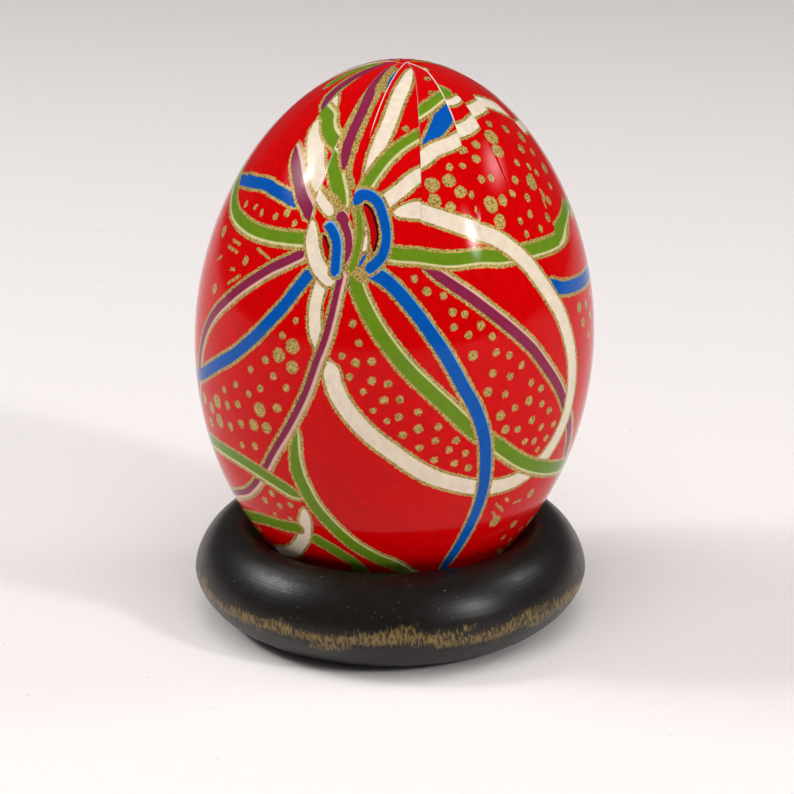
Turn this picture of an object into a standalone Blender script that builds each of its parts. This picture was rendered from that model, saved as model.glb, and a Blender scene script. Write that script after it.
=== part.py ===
"""A paper-covered, lacquered hen's egg that rests loose in a turned wooden ring.

Run with: blender --background --python part.py   (metres, +Z up, front towards -Y)

The ring stands on z = 0 with its axis on the world Z axis. The egg leans a little in it,
so every piece of the egg is parented to an empty at the egg's centre. From the outside in,
the egg is a film of clear lacquer, a paper disc over the base, the slit paper sheet, the
blown shell with its dried membrane, and a plug of filler in each blow hole.
"""
from math import asin, cos, hypot, pi, radians, sin

import bmesh
import bpy
from mathutils import Matrix, Vector

COLLECTION_NAME = "paper_covered_egg"

# The egg's outside, over the lacquer.
EGG_WIDTH = 0.0442
EGG_HEIGHT = 0.0621
EGG_TAPER = -0.008          # how much narrower the upper half is than the lower
EGG_SHOULDER = -0.063       # how much both shoulders fall inside an ellipse
EGG_CENTRE = Vector((0.00045, -0.00025, 0.0324))
EGG_LEAN_RIGHT = radians(2.4)
EGG_LEAN_FORWARD = radians(1.7)

# The layers, each as thick as the real one, with a clear gap between neighbours.
LAYER_GAP = 0.0001
LACQUER_THICKNESS = 0.00025
DISC_THICKNESS = 0.0001
PAPER_THICKNESS = 0.00015
SHELL_THICKNESS = 0.0004
MEMBRANE_THICKNESS = 0.0001

# How far the outer face of each layer lies below the outside of the egg.
DISC_DEPTH = LACQUER_THICKNESS + LAYER_GAP
PAPER_DEPTH = DISC_DEPTH + DISC_THICKNESS + LAYER_GAP
SHELL_DEPTH = PAPER_DEPTH + PAPER_THICKNESS + LAYER_GAP
MEMBRANE_DEPTH = SHELL_DEPTH + SHELL_THICKNESS + LAYER_GAP

# The sheet is slit into strips from both long edges; the strips meet at the poles.
STRIP_COUNT = 18
SLIT_WIDTH = 0.00025
SLIT_END_HEIGHT = 0.0173    # above and below the egg's centre
SLIT_LONGITUDE = radians(5.0)

BLOW_HOLE_RADIUS = 0.0015   # the strips' tips stop at the same circle
FILLER_STEM_RADIUS = 0.0011
FILLER_BULB_RADIUS = 0.0018
FILLER_BULB_HEIGHT = 0.0009
FILLER_CLEARANCE = 0.0003
PIN_SPOT_RADIUS = 0.0008    # bare spot where the wet lacquer stood on a drying pin

# The wooden ring, a fat bead in section with a narrow flat to stand on.
RING_DIAMETER = 0.0444
RING_BORE = 0.0257
RING_HEIGHT = 0.0111
RING_SECTION_POWER = 1.65   # 2 is an ellipse; less draws the bead's crown to a soft edge
RING_FLAT_TRIM = 0.00035    # what the foot of the bead loses to the flat

EGG_SEGMENTS = 36
EGG_PROFILE_STEPS = 20
RING_SEGMENTS = 48
RING_PROFILE_STEPS = 20
DISC_PROFILE_STEPS = 2      # of the egg's steps, so the disc is about 12.8 mm across
MERGE_DISTANCE = 0.00001


def clear_scene():
    for item in list(bpy.data.objects):
        bpy.data.objects.remove(item, do_unlink=True)


def new_collection(name):
    collection = bpy.data.collections.new(name)
    bpy.context.scene.collection.children.link(collection)
    return collection


def new_material(name, colour, roughness, metallic=0.0, transmission=0.0):
    material = bpy.data.materials.new(name)
    material.use_nodes = True
    shader = material.node_tree.nodes["Principled BSDF"]
    shader.inputs["Base Color"].default_value = (*colour, 1.0)
    shader.inputs["Roughness"].default_value = roughness
    shader.inputs["Metallic"].default_value = metallic
    shader.inputs["Transmission Weight"].default_value = transmission
    material.diffuse_color = (*colour, 1.0)
    return material


def turned_piece(name, outline, segments, closed, material, collection, parent=None):
    """Turn an outline of (radius, height) points round the Z axis."""
    mesh = bpy.data.meshes.new(name)
    edges = [(i, i + 1) for i in range(len(outline) - 1)]
    if closed:
        edges.append((len(outline) - 1, 0))
    mesh.from_pydata([(radius, 0.0, height) for radius, height in outline], edges, [])
    mesh.materials.append(material)
    piece = bpy.data.objects.new(name, mesh)
    collection.objects.link(piece)
    piece.parent = parent
    screw = piece.modifiers.new("Turned", "SCREW")
    screw.axis = "Z"
    screw.steps = segments
    screw.render_steps = segments
    screw.use_merge_vertices = True
    screw.merge_threshold = MERGE_DISTANCE
    screw.use_smooth_shade = True
    return piece


def egg_point(angle, depth):
    """Radius and height of the egg at an angle from its top, `depth` below its outside."""
    swell = 1 + EGG_TAPER * cos(angle) + EGG_SHOULDER * cos(angle) ** 2
    swell_slope = -sin(angle) * (EGG_TAPER + 2 * EGG_SHOULDER * cos(angle))
    radius = EGG_WIDTH / 2 * sin(angle) * swell
    height = EGG_HEIGHT / 2 * cos(angle)
    radius_slope = EGG_WIDTH / 2 * (cos(angle) * swell + sin(angle) * swell_slope)
    height_slope = -EGG_HEIGHT / 2 * sin(angle)
    length = hypot(radius_slope, height_slope)
    return radius + depth * height_slope / length, height - depth * radius_slope / length


def rim_angle(radius):
    """The angle from a pole to a small circle of this radius round it."""
    return asin(radius / (EGG_WIDTH / 2 * (1 + EGG_SHOULDER)))


def meridian_angles():
    """Angles from the edge of the top blow hole down to the edge of the base one."""
    between = [pi * i / EGG_PROFILE_STEPS for i in range(1, EGG_PROFILE_STEPS)]
    return [rim_angle(BLOW_HOLE_RADIUS)] + between + [pi - rim_angle(BLOW_HOLE_RADIUS)]


def wall(angles, depth):
    """One face of a layer as a run of (radius, height) points."""
    return [egg_point(angle, depth) for angle in angles]


def layer_outline(depth, thickness):
    """A closed outline of one layer of the egg, open at both poles."""
    angles = meridian_angles()
    return wall(angles, depth) + wall(angles[::-1], depth + thickness)


def film_outline():
    """The lacquer: whole over the top, with a bare spot left at the base."""
    angles = meridian_angles() + [pi - rim_angle(PIN_SPOT_RADIUS)]
    outer = [(0.0, EGG_HEIGHT / 2)] + wall(angles, 0.0)
    inner = wall(angles[::-1], LACQUER_THICKNESS) + [(0.0, EGG_HEIGHT / 2 - LACQUER_THICKNESS)]
    return outer + inner


def disc_outline():
    """The base disc: out along its upper face to the rim, then back under it to the pole."""
    angles = meridian_angles()[-1 - DISC_PROFILE_STEPS:][::-1]
    base = -EGG_HEIGHT / 2 + DISC_DEPTH
    upper = [(0.0, base + DISC_THICKNESS)] + wall(angles, DISC_DEPTH + DISC_THICKNESS)
    return upper + wall(angles[::-1], DISC_DEPTH) + [(0.0, base)]


def filler_outline():
    """A plug of filler below the top pole: a stem through the hole and a bulb inside it."""
    top = EGG_HEIGHT / 2 - SHELL_DEPTH
    inside = EGG_HEIGHT / 2 - MEMBRANE_DEPTH - MEMBRANE_THICKNESS - FILLER_CLEARANCE
    bulb = [
        (FILLER_BULB_RADIUS * cos(turn), inside - FILLER_BULB_HEIGHT * (1 + sin(turn)) / 2)
        for turn in (radians(-50), 0.0, radians(50))
    ]
    stem = [(0.0, top), (FILLER_STEM_RADIUS, top), (FILLER_STEM_RADIUS, inside)]
    return stem + bulb + [(0.0, inside - FILLER_BULB_HEIGHT)]


def ring_outline():
    """A closed outline of the ring's bead, standing on its trimmed foot."""
    half_width = (RING_DIAMETER - RING_BORE) / 4
    half_height = (RING_HEIGHT + RING_FLAT_TRIM) / 2
    middle_radius = (RING_DIAMETER + RING_BORE) / 4
    middle_height = RING_HEIGHT - half_height
    foot = middle_height / half_height
    foot_half_width = half_width * (1 - foot ** RING_SECTION_POWER) ** (1 / RING_SECTION_POWER)

    def bead_side(side):
        """One side of the bead from its crown down to the edge of its foot."""
        points = []
        for i in range(RING_PROFILE_STEPS // 2 + 1):
            turn = pi * i / (RING_PROFILE_STEPS // 2)
            reach = (sin(turn) ** 2) ** (1 / RING_SECTION_POWER)
            rise = (cos(turn) ** 2) ** (1 / RING_SECTION_POWER)
            height = middle_height + half_height * (rise if cos(turn) > 0 else -rise)
            if height > MERGE_DISTANCE:
                points.append((middle_radius + side * half_width * reach, height))
        points.append((middle_radius + side * foot_half_width, 0.0))
        return points

    return bead_side(1) + bead_side(-1)[:0:-1]


def cut_slits(sheet, cutters):
    """Cut the strips apart. Each cutter is a pair of blades right across the egg."""
    blade_height = EGG_HEIGHT / 2
    blade_middle = SLIT_END_HEIGHT + blade_height / 2
    for i in range(STRIP_COUNT // 2):
        blades = bmesh.new()
        for side in (1, -1):
            size = Matrix.Diagonal((EGG_WIDTH * 1.2, SLIT_WIDTH, blade_height, 1.0))
            place = Matrix.Translation((0.0, 0.0, side * blade_middle))
            bmesh.ops.create_cube(blades, size=1.0, matrix=place @ size)
        mesh = bpy.data.meshes.new(f"slit_blades_{i + 1:02d}")
        blades.to_mesh(mesh)
        blades.free()
        cutter = bpy.data.objects.new(mesh.name, mesh)
        cutters.objects.link(cutter)
        cutter.parent = sheet
        cutter.rotation_euler.z = SLIT_LONGITUDE - pi / 2 + 2 * pi * i / STRIP_COUNT
        cutter.hide_render = True
        cutter.display_type = "WIRE"
        cut = sheet.modifiers.new(f"Slit {i + 1}", "BOOLEAN")
        cut.object = cutter
        cut.operation = "DIFFERENCE"


def make_stand(parts):
    ebonised = new_material("ebonised_wood", (0.012, 0.010, 0.009), 0.35)
    turned_piece("stand_ring", ring_outline(), RING_SEGMENTS, True, ebonised, parts)


def make_egg(parts, cutters):
    centre = bpy.data.objects.new("egg_centre", None)
    centre.location = EGG_CENTRE
    centre.rotation_euler = (EGG_LEAN_FORWARD, EGG_LEAN_RIGHT, 0.0)
    parts.objects.link(centre)

    lacquer = new_material("clear_lacquer", (0.95, 0.92, 0.85), 0.05, transmission=0.95)
    turned_piece("lacquer_film", film_outline(), EGG_SEGMENTS, False, lacquer, parts, centre)

    red_paper = new_material("printed_paper", (0.60, 0.012, 0.010), 0.55)
    outline = layer_outline(PAPER_DEPTH, PAPER_THICKNESS)
    sheet = turned_piece("paper_wrap", outline, EGG_SEGMENTS, True, red_paper, parts, centre)
    cut_slits(sheet, cutters)

    disc_paper = new_material("base_disc_paper", (0.55, 0.012, 0.010), 0.55)
    turned_piece("base_disc", disc_outline(), EGG_SEGMENTS, False, disc_paper, parts, centre)

    shell = new_material("hen_eggshell", (0.80, 0.66, 0.50), 0.60)
    outline = layer_outline(SHELL_DEPTH, SHELL_THICKNESS)
    turned_piece("eggshell", outline, EGG_SEGMENTS, True, shell, parts, centre)

    membrane = new_material("dried_membrane", (0.86, 0.82, 0.72), 0.50)
    outline = layer_outline(MEMBRANE_DEPTH, MEMBRANE_THICKNESS)
    turned_piece("shell_membrane", outline, EGG_SEGMENTS, True, membrane, parts, centre)

    for name, turn in (("hole_filler_top", 0.0), ("hole_filler_base", pi)):
        filler = new_material(f"{name}_putty", (0.78, 0.75, 0.68), 0.80)
        plug = turned_piece(name, filler_outline(), 12, False, filler, parts, centre)
        plug.rotation_euler.x = turn


def main():
    clear_scene()
    parts = new_collection(COLLECTION_NAME)
    cutters = new_collection("cutters")
    make_stand(parts)
    make_egg(parts, cutters)


main()
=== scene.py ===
"""The finished surfaces of a paper-covered, lacquered hen's egg in its turned wooden ring.

The egg's visible surface is its printed paper under clear lacquer. The print is a red sheet with
flat ribbons in gold outlines. It is laid out on a flat sheet in millimetres: u runs round the egg
at its widest, 0 at the front, and s runs up the egg, 0 at its widest. The sheet is wrapped round
the egg in one belt and two sets of strips, and each strip narrows towards a pole by sliding over
the one to its left, so the print jumps sideways at each cut, as on the real egg.
"""
from collections import namedtuple
from functools import partial
from math import copysign, cos, pi, radians, sin

import bpy
import numpy as np
from bpy.props import FloatProperty, FloatVectorProperty, PointerProperty
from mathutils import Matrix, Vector


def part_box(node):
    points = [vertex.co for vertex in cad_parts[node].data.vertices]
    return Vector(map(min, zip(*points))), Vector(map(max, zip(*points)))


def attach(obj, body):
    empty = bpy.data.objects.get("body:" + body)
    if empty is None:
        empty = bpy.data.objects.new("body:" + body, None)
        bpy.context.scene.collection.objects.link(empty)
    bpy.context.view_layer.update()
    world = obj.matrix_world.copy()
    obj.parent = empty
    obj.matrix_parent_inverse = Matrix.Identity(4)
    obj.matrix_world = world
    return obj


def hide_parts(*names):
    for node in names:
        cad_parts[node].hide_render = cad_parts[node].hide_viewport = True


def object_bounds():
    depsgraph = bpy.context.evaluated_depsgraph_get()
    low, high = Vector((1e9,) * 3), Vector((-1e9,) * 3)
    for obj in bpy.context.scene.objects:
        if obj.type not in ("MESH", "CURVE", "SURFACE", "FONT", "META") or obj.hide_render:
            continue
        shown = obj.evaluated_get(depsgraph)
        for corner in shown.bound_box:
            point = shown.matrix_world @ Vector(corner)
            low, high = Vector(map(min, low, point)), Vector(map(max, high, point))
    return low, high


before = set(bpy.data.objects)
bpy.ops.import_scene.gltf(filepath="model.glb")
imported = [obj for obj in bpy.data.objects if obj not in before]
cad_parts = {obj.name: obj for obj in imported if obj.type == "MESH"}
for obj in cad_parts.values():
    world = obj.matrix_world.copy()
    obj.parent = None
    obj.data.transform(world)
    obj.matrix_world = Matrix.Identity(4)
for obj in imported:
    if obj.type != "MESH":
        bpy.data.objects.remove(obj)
CAD_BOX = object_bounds()

bl_info = {
    "name": "Paper-covered egg",
    "version": (1, 0, 0),
    "blender": (4, 5, 0),
    "location": "3D View > Sidebar > Egg",
    "description": "Wraps printed paper strips round an egg and turns the ring it stands in",
    "category": "Object",
}

MM = 0.001

# The egg's profile, as the blown shell under the paper gives it.
EGG_TAPER = -0.008          # how much narrower the upper half is than the lower
EGG_SHOULDER = -0.063       # how much both shoulders fall inside an ellipse
PROFILE_STEPS = 4001

# The sheet round the egg, all in mm. Heights are counted from the widest line.
BELT_TOP = 14.0             # the strips start here, and below at the belt's base
BELT_BASE = -17.0
ROW_SPACING = 0.22
BASE_ROW_SPACING = 0.27
LIFT_LENGTH = 3.0           # over which a cut edge rises from the slit's end
WHITE_FROM = 28.0           # higher up the cuts show their core
STRIP_FLAT = 17.0           # up to this height the strips lie side by side
BASE_STRIP_FLAT = 20.5      # and down to this depth
STRIP_BLEND = 6.0           # over which they start to slide over one another
POLE_REACH = 3.0            # nearer to the pole the cuts run straight
MERGE_DISTANCE = 0.01 * MM
RIM_REACH = 0.05            # how near to a rim a vertex belongs to it

# degrees, mm it misses the pole by, mm where the slit ends, how white its edge shows
Cut = namedtuple("Cut", "longitude miss end white", defaults=(0.0,))
TOP_CUTS = [
    Cut(-175, 0.2, 16), Cut(-155, 0.1, 17), Cut(-135, 0, 15.5), Cut(-114, -0.2, 18),
    Cut(-95, -0.4, 16), Cut(-74, -0.6, 17), Cut(-52, -0.8, 15.6), Cut(-28.8, -1.0, 14.4, 0.2),
    Cut(-18, 0, 18, 1.0), Cut(5.2, 0.54, 19.5, 0.15), Cut(24, 1.1, 18, 0.9), Cut(41, 0.9, 18),
    Cut(60, 0.5, 14.2), Cut(80, 0.3, 16), Cut(101, 0.2, 18), Cut(121, 0.3, 15),
    Cut(141, 0.2, 17), Cut(162, 0.2, 16),
]
BASE_CUTS = [Cut(-175 + 20 * i, 0.15 * (i % 3), 21 + i % 4 * 0.5) for i in range(18)]
STRIP_COLUMNS = [24] * 6 + [34, 22, 44, 34, 30, 30, 30] + [24] * 5
STRIPS = len(STRIP_COLUMNS)
STRIP_SLIP = {12: 0.9}      # mm by which a strip was pulled up before it was glued
SLIP_LENGTH = 2.0           # mm over which the pull starts

# The inks, in the order in which the ribbon fields number them.
INKS = ("cream", "green", "blue", "purple", "dark_red", "gold")
CREAM, GREEN, BLUE, PURPLE, DARK, GOLD = range(len(INKS))
OUTLINE = 0.36              # mm of gold round every ribbon
LAYERS = 7
FAR = 9.0                   # mm: the field's value away from every ribbon
FIELD_REACH = 1.4           # mm from a ribbon's edge to where its field is no longer needed
DOT_REACH = 1.0             # the same from a dot's edge
STROKE_REACH = 3.0          # and from a stroke's middle
PATH_STEPS = 8              # points of a smooth path for each point given

# The pale edgings of the green, blue and purple ribbons, the dark one inside the bow, and the
# shadow beside a cut.
PALE_EDGINGS = ["#CFC890", "#6FA4D8", "#D8AFA0"]
DARK_EDGING = "#240C08"
CUT_SHADOW = "#2A0606"

# Sizes in mm of the gold's grains, its ragged rims, the paper's fibres and the lacquer's waves.
GRAIN_SIZE = 0.19
RAGGED_SIZE = 0.33
RAGGED_DEPTH = 0.44
FIBRE_SIZE = 0.9
SAG_SIZE = 7.0

# layer: 0 lies lowest. width and edging in mm: the pale edging runs along the left of the
# ribbon's own direction, or the right if negative. tips: mm over which each end narrows.
Ribbon = namedtuple("Ribbon", "layer ink width points edging tips", defaults=(0.0, (0.0, 0.0)))

FRONT_RIBBONS = [
    # The large bow's loops and tails over the egg's front.
    Ribbon(1, GREEN, 1.5, [(-2, 16), (0, 15.8), (2, 15.75), (6, 15.3), (10, 15.4), (13, 15.1),
        (18, 15.1), (24, 15.1), (28, 15.9), (33, 17), (39, 17), (47, 12), (54, 3),
        (60, -5)], -0.25),
    Ribbon(0, BLUE, 1.4, [(19, 11.3), (20, 11), (22, 10.25), (24, 9.9), (28, 9.5), (34, 9.2),
        (41, 8.5), (49, 4), (55, -3), (59, -6)], tips=(1.2, 0)),
    Ribbon(0, PURPLE, 1.35, [(2.8, 14.7), (4.2, 14.1), (6, 13), (8, 11.7), (10, 10.2), (12, 8.6),
        (14, 6.9), (16, 5), (18, 2.6), (20, 0.2), (21.3, -1.6), (22.4, -3.3), (23.6, -4.8),
        (24.7, -6.8), (25.7, -9), (26.6, -12), (28, -17), (31, -23), (33, -30)], 0.22, (2, 0)),
    Ribbon(2, CREAM, 1.75, [(-1.2, 20.2), (1, 20.6), (3.5, 20.3), (6, 19.5), (8.5, 18.7),
        (10.5, 18), (12.5, 17.2), (14.4, 16), (16.6, 14), (18.1, 12), (19.5, 10), (20.8, 8),
        (21.7, 6), (22.4, 4), (22.9, 2), (23.1, -1), (22.7, -4), (21.8, -6), (20.2, -8),
        (18.5, -9.2), (16, -10.2), (13, -10.5), (10, -10.1), (8, -9.5), (6, -8.8), (4, -7.9),
        (2, -6.6), (0, -5.1), (-2, -3.6), (-4, -1.7), (-5.6, 0.3), (-6.5, 2.2),
        (-6.9, 4.2)], tips=(2, 1)),
    Ribbon(2, CREAM, 1.35, [(-7.3, 3.9), (-8.2, 5.5), (-9, 7.5), (-9.3, 10),
        (-8.9, 12.6)], tips=(3, 0)),
    Ribbon(3, GREEN, 1.6, [(-5.4, 14), (-4.5, 12), (-3.3, 10), (-1.9, 8), (-0.3, 6), (1.5, 4),
        (3.6, 2), (5.7, 0), (7.6, -1.9), (9.4, -3.5), (10.3, -4.2)], 0.22),
    Ribbon(3, GREEN, 1.6, [(10.3, -4.2), (12, -5.4), (14, -6.9), (16, -8.2), (18, -9.2), (20, -10),
        (22, -10.7), (25, -11.5), (29, -12.4), (35, -13.6), (43, -14), (51, -12), (58, -9)], -0.25),
    Ribbon(4, BLUE, 1.45, [(-3, 13.9), (-1.6, 13.3), (0.1, 12), (2, 10), (3.55, 8), (5, 6),
        (6.2, 4), (7.3, 2), (8.5, 0), (9.4, -2), (10.1, -4), (10.5, -6), (10.9, -9), (10.95, -12),
        (10.5, -16), (9.7, -20), (8.8, -24), (7, -32), (6, -41)], 0.08),
    Ribbon(4, PURPLE, 1.1, [(-6.6, 13.2), (-6.8, 11.5), (-7.1, 9), (-7.6, 6.3), (-8.3, 4),
        (-9.5, 0), (-11.4, -4), (-13.9, -8), (-15.2, -10), (-17, -12.2), (-18.6, -13.7),
        (-20.5, -15), (-23, -16.1), (-27, -17.4), (-35, -18), (-43, -17), (-50, -12),
        (-53, -8)], 0.38),
    # The left side.
    Ribbon(0, BLUE, 1.35, [(-15, 19.4), (-16.4, 19.9), (-18.6, 20.2), (-22.8, 20.4), (-25.7, 19.9),
        (-29.8, 19.2), (-33, 18.2), (-39, 15), (-45, 8), (-50, -1), (-52, -5)], tips=(1.5, 0)),
    Ribbon(1, GREEN, 1.5, [(-12, 16.2), (-15, 15.85), (-18, 15.55), (-21, 15.45), (-24, 15.6),
        (-27, 16), (-30, 17), (-33, 18.3), (-38, 20), (-46, 17), (-52, 8), (-53.5, -3)], 0.3),
    Ribbon(0, PURPLE, 1.3, [(-12.2, 14.6), (-14, 13.5), (-16, 12.3), (-18, 10.8), (-20, 9.2),
        (-22, 7.4), (-24, 5.5), (-25.6, 3.5), (-27, 1), (-28.5, -3), (-31, -8), (-37, -12),
        (-45, -11), (-51, -7.5)], 0.3),
    Ribbon(0, BLUE, 1.3, [(-10.8, 12.7), (-12, 10.9), (-13.2, 9), (-14.8, 7), (-16.3, 5.2),
        (-18, 3.5), (-20, 1.8), (-22, 0.5), (-24, -0.8), (-26, -2), (-29, -3.4), (-34, -4.5),
        (-41, -4.5), (-48, -5.5), (-52, -6.3)]),
    Ribbon(5, GREEN, 1.5, [(-10.8, -12.8), (-11.5, -12.4), (-14, -11.5), (-17, -10.7), (-20, -10.3),
        (-24, -10.4), (-28, -10.9), (-32, -11.8), (-39, -14), (-46, -14),
        (-52, -9)], 0.3, (1.5, 0)),
    Ribbon(3, GREEN, 1.7, [(-10.3, -4), (-10.7, -6.4), (-10.6, -9), (-9.9, -11.1), (-8.9, -13.2),
        (-7.5, -15.1), (-5.8, -17), (-4, -18.6), (-1.3, -20.3), (2, -22), (7, -26),
        (12, -32)], 0.3, (5, 0)),
    Ribbon(5, GREEN, 1.3, [(-12.3, -17.4), (-15, -17.8), (-18, -18.1), (-21, -18.8), (-26, -20.5),
        (-31, -24), (-35, -30)]),
    Ribbon(1, GREEN, 1.4, [(-9.8, -18.6), (-8, -19.5), (-6, -20.8), (-4.5, -22), (-2, -26),
        (-1, -31)]),
    Ribbon(2, CREAM, 1.6, [(-10.5, -14), (-10.8, -16), (-11.4, -18), (-12.5, -19.7), (-14, -21.2),
        (-16, -22.6), (-21, -25), (-25, -31)], tips=(2, 0)),
    # The narrow tails that run up from the knot between the cuts.
    Ribbon(1, CREAM, 1.45, [(-4.6, 22.6), (-4, 26), (-3.4, 28), (-2.85, 30), (-2.5, 32),
        (-2.15, 34), (-1.7, 36.5), (-1.4, 39.5)], tips=(6, 4)),
    Ribbon(2, GREEN, 1.25, [(-4.6, 22.2), (-3.6, 24.2), (-2.4, 26.2), (-0.8, 28), (2, 30),
        (4.7, 31.4), (6.5, 32.6), (8.1, 33.8), (9.8, 34.8)], -0.3),
    Ribbon(2, GREEN, 1.4, [(12.7, 37.2), (13.1, 35.4), (14.3, 33.9)], tips=(2, 0.4)),
    Ribbon(1, CREAM, 0.8, [(12.6, 33.1), (13.8, 33), (15, 33.4)]),
    Ribbon(2, GREEN, 1.2, [(12.6, 39), (14.8, 39.6)], -0.35),
    Ribbon(0, GREEN, 1.5, [(-32.5, 32.5), (-32.9, 36), (-33.2, 39)], tips=(1.5, 1)),
    Ribbon(1, CREAM, 1.5, [(-2.4, 21.2), (-0.6, 22.9), (0.7, 24.2), (4.1, 25.9), (6, 27.2),
        (8, 27.9), (10.9, 29), (13.8, 29.5), (18.7, 31.3), (25.6, 31.5), (31, 28), (38, 27),
        (44, 32), (48, 40)]),
    Ribbon(0, BLUE, 2.1, [(4.9, 27.7), (6.2, 29), (7.5, 30.6), (8.8, 32.6)], tips=(4.2, 0)),
    Ribbon(2, PURPLE, 1.1, [(-9.6, 24.2), (-10.1, 27), (-10.1, 30), (-10.2, 33), (-10.6, 36),
        (-11, 40)], tips=(2, 0)),
    Ribbon(1, GOLD, 0.1, [(-9.5, 35), (-9.35, 30), (-9.25, 27), (-9.1, 24.5), (-8.2, 22.6)]),
    Ribbon(1, GOLD, 0.05, [(-11.1, 26), (-11, 34)]),
    Ribbon(3, GOLD, 0.6, [(-9.75, 38.8), (-9.5, 35)]),
    Ribbon(4, BLUE, 0.75, [(-9.05, 38.6), (-8.75, 34.9)], tips=(0.6, 1.4)),
    Ribbon(1, GREEN, 1.75, [(-24, 31.4), (-18.1, 30.2), (-16.9, 29.1), (-15.5, 27.8), (-11.7, 25.9),
        (-10.6, 24.3), (-9.3, 22), (-8.6, 20.6)], 0.35, (1, 0)),
    Ribbon(0, CREAM, 1.3, [(-24, 33.6), (-19.6, 32.4), (-17.4, 31)], tips=(0, 2)),
    Ribbon(0, CREAM, 2.0, [(-18.6, 29), (-17.3, 27), (-16.2, 25.4), (-15.2, 23.8), (-13.9, 22.2),
        (-12.2, 20.9)], tips=(1.8, 0)),
    Ribbon(2, PURPLE, 1.75, [(-19.4, 25.8), (-17.9, 23.8), (-16.3, 22), (-15, 20.7), (-13.4, 19.6),
        (-12, 18.4)], 0.45, (2.5, 1)),
    Ribbon(1, PURPLE, 1.1, [(-23.6, 30.2), (-24.4, 31.5), (-25.1, 33.5), (-25.5, 40)], tips=(2, 0)),
]

KNOT_MIDDLE = (-6.5, 17)
KNOT = [
    Ribbon(3, GOLD, 1.6, [(-12.4, 21.4), (-10.4, 20.6), (-9, 19.6), (-7.6, 18.6), (-7, 17),
        (-6.4, 15), (-6.2, 13.2)]),
    Ribbon(4, GOLD, 1.5, [(-5.7, 21.3), (-5.2, 20), (-4.8, 17.5), (-4.7, 15), (-4.4, 13.9)]),
    Ribbon(5, CREAM, 1.15, [(-12.4, 21.4), (-11.6, 20.9), (-10.4, 20),
        (-9.3, 19.4)], tips=(0, 0.6)),
    Ribbon(4, CREAM, 1.65, [(-11.9, 18.4), (-11.5, 17), (-11.1, 15.9), (-10.5, 14.8), (-9.6, 13.7),
        (-8.2, 12.8)], tips=(2, 0)),
    Ribbon(5, PURPLE, 1.35, [(-8.7, 19.6), (-7.7, 19), (-6.8, 17.6), (-6.4, 16.2),
        (-6.3, 14.6)], 0.15, (0.3, 1.6)),
    Ribbon(6, BLUE, 1.3, [(-10, 18.1), (-9.2, 18), (-8.3, 17.2), (-7.8, 16.2), (-7.6, 14.8),
        (-7.5, 13.7)], 0.2, (0.6, 0)),
    Ribbon(5, DARK, 0.85, [(-9.9, 17.1), (-9.2, 16), (-8.5, 14.5)], 0.3, (0.9, 1)),
    Ribbon(6, BLUE, 1.2, [(-5.9, 20.7), (-5.1, 21.7), (-4.2, 21.9), (-3.2, 21.3), (-2.5, 20),
        (-1.9, 18.3), (-1.8, 16.9), (-2.2, 15.6), (-3.2, 14.5), (-4, 14.1)], 0.07, (0.8, 0.4)),
    Ribbon(6, GREEN, 0.65, [(-5.5, 20.4), (-5.2, 18), (-5.3, 15.6), (-5.7, 13.7)], tips=(0.8, 0.5)),
    Ribbon(5, CREAM, 0.8, [(-4.9, 19.3), (-4.55, 17.6), (-4.55, 16), (-5, 14.4)], tips=(1.2, 1.4)),
    Ribbon(6, DARK, 1.1, [(-4.7, 21), (-3.9, 19.6), (-3.35, 18), (-3.2, 16)], 0.3, (1, 1.6)),
    Ribbon(6, BLUE, 0.4, [(-4.1, 15.8), (-4.8, 14.4)], tips=(0.6, 0.4)),
]

# The back repeats the bow twice, with tails that lead on from the front's.
BACK_RIBBONS = [
    Ribbon(2, CREAM, 1.75, [(61, -4), (59, 6), (52, 15), (44, 17.5), (38, 12), (35.5, 3), (37, -7),
        (43, -15), (51, -17), (58, -12), (60.5, -8)]),
    Ribbon(3, PURPLE, 1.2, [(62, -3), (63, 5), (60, 14), (55, 21), (52, 30), (52, 40)], 0.35),
    Ribbon(4, BLUE, 1.4, [(62, -9), (61, -16), (56, -23), (53, -31), (52, -40)]),
    Ribbon(1, GREEN, 1.4, [(63, -8), (66, -15), (73, -20)], 0.3),
    Ribbon(0, PURPLE, 1.2, [(63.5, -4), (67, 3), (73, 8)], 0.3),
    Ribbon(1, GREEN, 1.3, [(36, 21), (43, 25), (49, 32), (51, 41)], 0.3),
    Ribbon(0, CREAM, 1.6, [(-55, -6), (-60, 2), (-66, 9), (-74, 12)]),
    Ribbon(2, PURPLE, 1.2, [(-55, -9), (-60, -14), (-66, -16), (-74, -15)], 0.35),
    Ribbon(3, GREEN, 1.5, [(-54, -10), (-56, -17), (-61, -24), (-63, -33), (-62, -41)], 0.3),
    Ribbon(3, CREAM, 1.7, [(-54, -3), (-57, 8), (-54, 17), (-46, 23), (-41, 30), (-40, 40)]),
    Ribbon(1, BLUE, 1.4, [(-54.5, -3), (-61, 7), (-63, 18), (-58, 28), (-55, 40)]),
    Ribbon(0, BLUE, 1.4, [(-52, -9), (-47, -18), (-45, -27), (-44, -40)]),
    Ribbon(2, PURPLE, 1.2, [(-66, 22), (-59, 24), (-50, 31), (-47, 40)], 0.3),
    Ribbon(1, CREAM, 1.5, [(22, -24), (26, -30), (28, -40)]),
    Ribbon(0, GREEN, 1.5, [(38, -20), (40, -28), (41, -40)], 0.3),
]

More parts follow.
